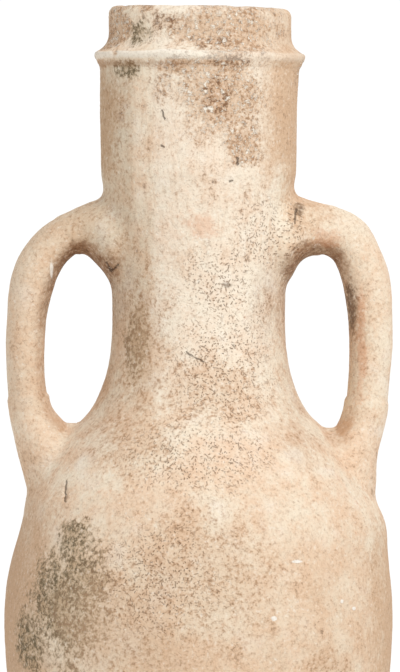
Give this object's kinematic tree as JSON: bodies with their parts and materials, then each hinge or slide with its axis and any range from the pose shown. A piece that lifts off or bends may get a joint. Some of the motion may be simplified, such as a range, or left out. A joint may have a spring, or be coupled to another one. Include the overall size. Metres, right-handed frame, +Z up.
{
  "type": "amphora",
  "caption": "Tall coarse-clay storage jar with a flanged collar mouth, wide waisted neck, paired loop handles, egg-shaped body and a solid pointed toe.",
  "frame": {"origin": "on the jar's axis, in the middle of the straight grip of the solid toe, where a stand or rack holds the jar up", "axes": "+Z up the jar's axis towards the mouth; the two handles reach along -X and +X"},
  "size_m": [0.3203, 0.32, 0.87],
  "materials": {
    "weathered_clay": "matte",
    "inner_clay": "matte"
  },
  "bodies": {
    "root": {"rim_collar": "weathered_clay", "neck": "weathered_clay", "shoulder": "weathered_clay", "belly": "weathered_clay", "lower_body": "weathered_clay", "toe": "weathered_clay", "handle_left": "weathered_clay", "handle_right": "weathered_clay", "upper_wad_left": "weathered_clay", "upper_wad_right": "weathered_clay", "lower_wad_left": "weathered_clay", "lower_wad_right": "weathered_clay", "neck_coil": "inner_clay", "toe_plug": "inner_clay"}
  },
  "joints": []
}
